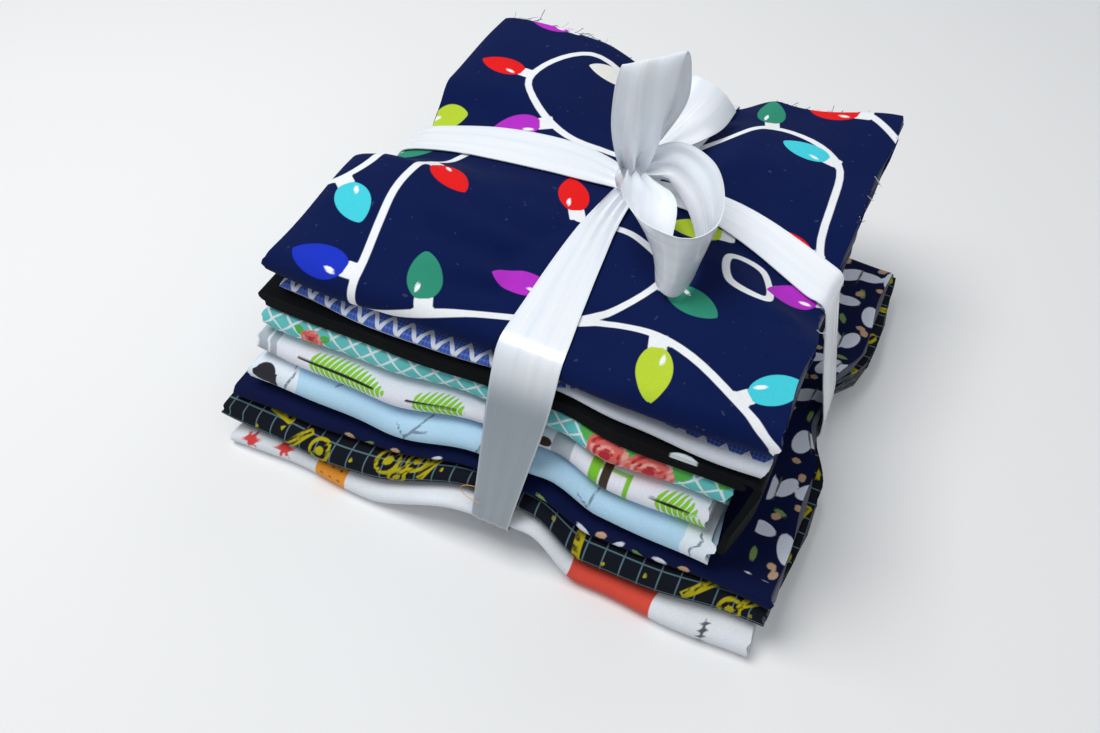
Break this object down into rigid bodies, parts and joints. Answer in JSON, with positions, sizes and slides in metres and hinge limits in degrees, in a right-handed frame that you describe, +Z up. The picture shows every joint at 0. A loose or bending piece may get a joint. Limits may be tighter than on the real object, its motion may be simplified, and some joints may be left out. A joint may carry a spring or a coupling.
{
  "type": "fabric bundle",
  "caption": "Stack of folded printed cotton cloths tied crosswise with a white satin ribbon and a bow.",
  "frame": {"origin": "on the floor under the middle of the bundle", "axes": "+Z up, -Y towards the front folds, +X to the right seen from the front"},
  "size_m": [0.2434, 0.2278, 0.1458],
  "materials": {
    "bottom_cloth": "plain-weave cotton",
    "grid_cloth": "plain-weave cotton",
    "petal_cloth": "plain-weave cotton",
    "sky_cloth": "plain-weave cotton",
    "fern_cloth": "plain-weave cotton",
    "lattice_cloth": "plain-weave cotton",
    "black_cloth": "plain-weave cotton",
    "zigzag_cloth": "plain-weave cotton",
    "top_cloth": "plain-weave cotton",
    "ribbon": "satin"
  },
  "bodies": {
    "root": {"bottom_cloth": "bottom_cloth", "grid_cloth": "grid_cloth", "petal_cloth": "petal_cloth", "sky_cloth": "sky_cloth", "fern_cloth": "fern_cloth", "lattice_cloth": "lattice_cloth", "black_cloth": "black_cloth", "zigzag_cloth": "zigzag_cloth", "top_cloth": "top_cloth", "ribbon": "ribbon"}
  },
  "joints": []
}
